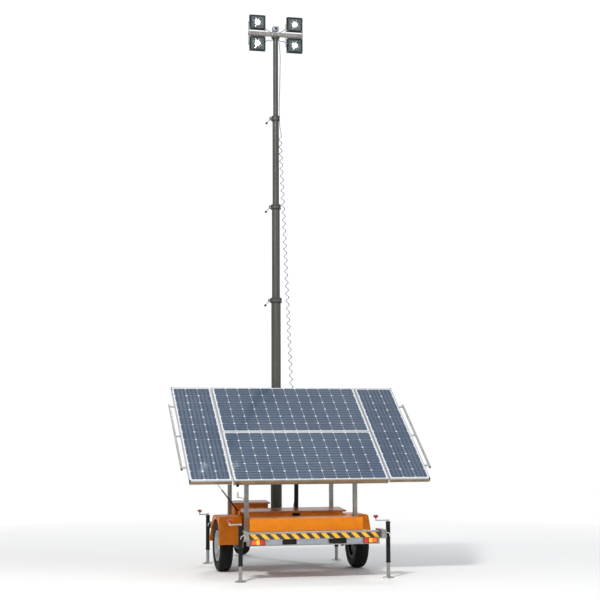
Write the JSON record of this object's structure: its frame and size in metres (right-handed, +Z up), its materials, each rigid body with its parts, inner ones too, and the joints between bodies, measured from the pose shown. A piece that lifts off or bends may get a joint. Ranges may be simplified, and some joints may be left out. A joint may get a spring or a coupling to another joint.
{
  "type": "solar light tower trailer",
  "caption": "Towable solar light tower: tilting solar array with folding wings, telescopic mast with floodlights, corner jacks, jockey wheel and ball coupling, shown deployed",
  "frame": {"origin": "on the ground under the middle of the overall bounding box, in the deployed pose", "axes": "+Y forwards to the towing hitch, -Y to the rear bumper, +X to the trailer's right, +Z up"},
  "size_m": [3.196, 4.154, 7.615],
  "materials": {
    "galvanised_steel": "hot-dip galvanised, dull spangle",
    "orange_paint": "gloss powder coat over sheet steel",
    "black_paint": "satin black paint",
    "tyre_rubber": "road tyre rubber",
    "rim_silver": "silver painted pressed steel",
    "mast_anodised": "dark anodised extrusion with grooves",
    "solar_glass": "crystalline cells behind glass in a silver frame",
    "bright_steel": "bright zinc plated and polished",
    "lens_red": "moulded tail light lens",
    "lamp_black": "black die-cast lamp housing",
    "battery_plastic": "moulded battery cases"
  },
  "bodies": {
    "chassis": {"chassis_frame": "galvanised_steel", "coupling_head": "galvanised_steel", "axle_beam": "galvanised_steel", "left_fender": "orange_paint", "right_fender": "orange_paint", "rear_bumper": "galvanised_steel", "left_tail_light": "lens_red", "right_tail_light": "lens_red", "rear_cowl": "orange_paint", "battery_box": "orange_paint", "battery_bank": "battery_plastic", "control_box": "orange_paint", "panel_support_frame": "galvanised_steel", "mast_base": "mast_anodised"},
    "solar_array": {"tilt_frame": "galvanised_steel", "lower_panel": "solar_glass", "upper_panel": "solar_glass"},
    "left_wing": {"left_wing_panel": "solar_glass", "left_grab_rail": "bright_steel"},
    "right_wing": {"right_wing_panel": "solar_glass", "right_grab_rail": "bright_steel"},
    "actuator_body": {"tilt_actuator_body": "black_paint"},
    "actuator_rod": {"tilt_actuator_rod": "bright_steel"},
    "stay_tube": {"wing_stay_tube": "black_paint"},
    "stay_rod": {"wing_stay_rod": "bright_steel"},
    "mast_1": {"mast_stage_1": "mast_anodised"},
    "mast_2": {"mast_stage_2": "mast_anodised"},
    "mast_3": {"mast_stage_3": "mast_anodised"},
    "mast_4": {"mast_stage_4": "mast_anodised", "lamp_crossbar": "galvanised_steel"},
    "battery_lid": {"battery_box_lid": "orange_paint"},
    "control_lid": {"control_box_lid": "orange_paint"},
    "latch": {"lid_latch": "black_paint"},
    "left_wheel": {"left_tyre": "tyre_rubber", "left_rim": "rim_silver"},
    "right_wheel": {"right_tyre": "tyre_rubber", "right_rim": "rim_silver"},
    "jockey_stem": {"jockey_tube": "galvanised_steel"},
    "jockey_swivel": {"jockey_fork": "galvanised_steel"},
    "jockey_roller": {"jockey_wheel": "tyre_rubber"},
    "lock_1": {"mast_lock_1": "bright_steel"},
    "lock_2": {"mast_lock_2": "bright_steel"},
    "lock_3": {"mast_lock_3": "bright_steel"},
    "lock_4": {"mast_lock_4": "bright_steel"},
    "lamp_upper_left": {"floodlight_upper_left": "lamp_black"},
    "lamp_upper_right": {"floodlight_upper_right": "lamp_black"},
    "lamp_lower_left": {"floodlight_lower_left": "lamp_black"},
    "lamp_lower_right": {"floodlight_lower_right": "lamp_black"},
    "jack_rear_left": {"jack_tube_rear_left": "black_paint"},
    "leg_rear_left": {"jack_leg_rear_left": "galvanised_steel"},
    "crank_rear_left": {"jack_crank_rear_left": "bright_steel"},
    "jack_rear_right": {"jack_tube_rear_right": "black_paint"},
    "leg_rear_right": {"jack_leg_rear_right": "galvanised_steel"},
    "crank_rear_right": {"jack_crank_rear_right": "bright_steel"},
    "jack_front_left": {"jack_tube_front_left": "black_paint"},
    "leg_front_left": {"jack_leg_front_left": "galvanised_steel"},
    "crank_front_left": {"jack_crank_front_left": "bright_steel"},
    "jack_front_right": {"jack_tube_front_right": "black_paint"},
    "leg_front_right": {"jack_leg_front_right": "galvanised_steel"},
    "crank_front_right": {"jack_crank_front_right": "bright_steel"}
  },
  "joints": [
    {"name": "array_tilt", "type": "hinge", "parent": "chassis", "child": "solar_array", "pos_m": [0, -1.27112, 1.51096], "axis": [1, 0, 0], "range_deg": [-36, 0], "stiffness_Nm_per_rad": 300, "springref_deg": 131.78},
    {"name": "actuator_swing", "type": "hinge", "parent": "chassis", "child": "actuator_body", "pos_m": [0.1, -0.573, 0.615], "axis": [1, 0, 0], "range_deg": [-9, 0]},
    {"name": "actuator_stroke", "type": "slide", "parent": "actuator_body", "child": "actuator_rod", "axis": [0, -0.0291, 0.9996], "range_m": [-0.475, 0]},
    {"name": "left_wing_fold", "type": "hinge", "parent": "solar_array", "child": "left_wing", "pos_m": [-0.985, -1.1162, 1.68903], "axis": [0, -0.809, -0.5878], "range_deg": [0, 90], "stiffness_Nm_per_rad": 40, "springref_deg": -131.78},
    {"name": "right_wing_fold", "type": "hinge", "parent": "solar_array", "child": "right_wing", "pos_m": [0.985, -1.1162, 1.68903], "axis": [0, 0.809, 0.5878], "range_deg": [0, 90], "stiffness_Nm_per_rad": 40, "springref_deg": -131.78},
    {"name": "stay_swing", "type": "hinge", "parent": "chassis", "child": "stay_tube", "pos_m": [-0.745, -0.933, 0.768], "axis": [0.3125, 0.485, 0.8168], "range_deg": [0, 14]},
    {"name": "stay_stroke", "type": "slide", "parent": "stay_tube", "child": "stay_rod", "axis": [-0.532, -0.623, 0.5735], "range_m": [-0.412, 0]},
    {"name": "mast_slide_1", "type": "slide", "parent": "chassis", "child": "mast_1", "axis": [0, 0, 1], "range_m": [-1.17, 0], "stiffness_N_per_m": 300, "springref_m": 5},
    {"name": "mast_slide_2", "type": "slide", "parent": "mast_1", "child": "mast_2", "axis": [0, 0, 1], "range_m": [-1.17, 0], "stiffness_N_per_m": 300, "springref_m": 5},
    {"name": "mast_slide_3", "type": "slide", "parent": "mast_2", "child": "mast_3", "axis": [0, 0, 1], "range_m": [-1.15, 0], "stiffness_N_per_m": 300, "springref_m": 5},
    {"name": "mast_slide_4", "type": "slide", "parent": "mast_3", "child": "mast_4", "axis": [0, 0, 1], "range_m": [-1.08, 0], "stiffness_N_per_m": 300, "springref_m": 5},
    {"name": "lock_lever_1", "type": "hinge", "parent": "chassis", "child": "lock_1", "pos_m": [-0.104, 0.177, 2.301], "axis": [0, 1, 0], "range_deg": [0, 90]},
    {"name": "lock_lever_2", "type": "hinge", "parent": "mast_1", "child": "lock_2", "pos_m": [-0.093, 0.177, 3.588], "axis": [0, 1, 0], "range_deg": [0, 90]},
    {"name": "lock_lever_3", "type": "hinge", "parent": "mast_2", "child": "lock_3", "pos_m": [-0.083, 0.177, 4.896], "axis": [0, 1, 0], "range_deg": [0, 90]},
    {"name": "lock_lever_4", "type": "hinge", "parent": "mast_3", "child": "lock_4", "pos_m": [-0.073, 0.177, 6.152], "axis": [0, 1, 0], "range_deg": [0, 90]},
    {"name": "lamp_tilt_upper_left", "type": "hinge", "parent": "mast_4", "child": "lamp_upper_left", "pos_m": [-0.268, 0.177, 7.512], "axis": [1, 0, 0], "range_deg": [-35, 70], "stiffness_Nm_per_rad": 40, "springref_deg": -4.33},
    {"name": "lamp_tilt_upper_right", "type": "hinge", "parent": "mast_4", "child": "lamp_upper_right", "pos_m": [0.268, 0.177, 7.512], "axis": [1, 0, 0], "range_deg": [-35, 70], "stiffness_Nm_per_rad": 40, "springref_deg": -4.33},
    {"name": "lamp_tilt_lower_left", "type": "hinge", "parent": "mast_4", "child": "lamp_lower_left", "pos_m": [-0.268, 0.177, 7.208], "axis": [1, 0, 0], "range_deg": [-35, 70], "stiffness_Nm_per_rad": 40, "springref_deg": -4.33},
    {"name": "lamp_tilt_lower_right", "type": "hinge", "parent": "mast_4", "child": "lamp_lower_right", "pos_m": [0.268, 0.177, 7.208], "axis": [1, 0, 0], "range_deg": [-35, 70], "stiffness_Nm_per_rad": 40, "springref_deg": -4.33},
    {"name": "battery_lid_hinge", "type": "hinge", "parent": "chassis", "child": "battery_lid", "pos_m": [0, -0.66, 0.75], "axis": [-1, 0, 0], "range_deg": [0, 75]},
    {"name": "control_lid_hinge", "type": "hinge", "parent": "chassis", "child": "control_lid", "pos_m": [-0.475, -0.175, 0.834], "axis": [-1, 0, 0], "range_deg": [0, 70]},
    {"name": "latch_pull", "type": "hinge", "parent": "chassis", "child": "latch", "pos_m": [0, -1.0015, 0.728], "axis": [-1, 0, 0], "range_deg": [0, 80]},
    {"name": "left_wheel_spin", "type": "hinge", "parent": "chassis", "child": "left_wheel", "pos_m": [-0.895, -0.673, 0.325], "axis": [1, 0, 0], "continuous": true},
    {"name": "right_wheel_spin", "type": "hinge", "parent": "chassis", "child": "right_wheel", "pos_m": [0.895, -0.673, 0.325], "axis": [1, 0, 0], "continuous": true},
    {"name": "jockey_lift", "type": "slide", "parent": "chassis", "child": "jockey_stem", "axis": [0, 0, 1], "range_m": [0, 0.16], "stiffness_N_per_m": 2000, "springref_m": -2},
    {"name": "jockey_caster", "type": "hinge", "parent": "jockey_stem", "child": "jockey_swivel", "pos_m": [-0.168, 1.527, 0.262], "axis": [0, 0, 1], "continuous": true},
    {"name": "jockey_roll", "type": "hinge", "parent": "jockey_swivel", "child": "jockey_roller", "pos_m": [-0.214, 1.527, 0.118], "axis": [0, 1, 0], "continuous": true},
    {"name": "jack_swivel_rear_left", "type": "hinge", "parent": "chassis", "child": "jack_rear_left", "pos_m": [-0.92, -1.993, 0.53], "axis": [1, 0, 0], "range_deg": [0, 90], "stiffness_Nm_per_rad": 500, "springref_deg": -171.89},
    {"name": "jack_lift_rear_left", "type": "slide", "parent": "jack_rear_left", "child": "leg_rear_left", "axis": [0, 0, 1], "range_m": [0, 0.15], "stiffness_N_per_m": 4000, "springref_m": -2},
    {"name": "jack_wind_rear_left", "type": "hinge", "parent": "jack_rear_left", "child": "crank_rear_left", "pos_m": [-0.92, -1.993, 0.662], "axis": [0, 0, 1], "continuous": true},
    {"name": "jack_swivel_rear_right", "type": "hinge", "parent": "chassis", "child": "jack_rear_right", "pos_m": [0.92, -1.993, 0.53], "axis": [1, 0, 0], "range_deg": [0, 90], "stiffness_Nm_per_rad": 500, "springref_deg": -171.89},
    {"name": "jack_lift_rear_right", "type": "slide", "parent": "jack_rear_right", "child": "leg_rear_right", "axis": [0, 0, 1], "range_m": [0, 0.15], "stiffness_N_per_m": 4000, "springref_m": -2},
    {"name": "jack_wind_rear_right", "type": "hinge", "parent": "jack_rear_right", "child": "crank_rear_right", "pos_m": [0.92, -1.993, 0.68], "axis": [0, 0, 1], "continuous": true},
    {"name": "jack_swivel_front_left", "type": "hinge", "parent": "chassis", "child": "jack_front_left", "pos_m": [-0.907, 0.403, 0.53], "axis": [1, 0, 0], "range_deg": [0, 90], "stiffness_Nm_per_rad": 500, "springref_deg": -171.89},
    {"name": "jack_lift_front_left", "type": "slide", "parent": "jack_front_left", "child": "leg_front_left", "axis": [0, 0, 1], "range_m": [0, 0.15], "stiffness_N_per_m": 4000, "springref_m": -2},
    {"name": "jack_wind_front_left", "type": "hinge", "parent": "jack_front_left", "child": "crank_front_left", "pos_m": [-0.907, 0.403, 0.65], "axis": [0, 0, 1], "continuous": true},
    {"name": "jack_swivel_front_right", "type": "hinge", "parent": "chassis", "child": "jack_front_right", "pos_m": [0.907, 0.403, 0.53], "axis": [1, 0, 0], "range_deg": [0, 90], "stiffness_Nm_per_rad": 500, "springref_deg": -171.89},
    {"name": "jack_lift_front_right", "type": "slide", "parent": "jack_front_right", "child": "leg_front_right", "axis": [0, 0, 1], "range_m": [0, 0.15], "stiffness_N_per_m": 4000, "springref_m": -2},
    {"name": "jack_wind_front_right", "type": "hinge", "parent": "jack_front_right", "child": "crank_front_right", "pos_m": [0.907, 0.403, 0.65], "axis": [0, 0, 1], "continuous": true}
  ],
  "couplings": [
    {"joint": "actuator_swing", "follows": "array_tilt", "ratio": 0.24519},
    {"joint": "actuator_stroke", "follows": "array_tilt", "m_per_rad": 0.74906},
    {"joint": "stay_swing", "follows": "left_wing_fold", "ratio": 0.15426},
    {"joint": "stay_stroke", "follows": "left_wing_fold", "m_per_rad": -0.26117}
  ]
}
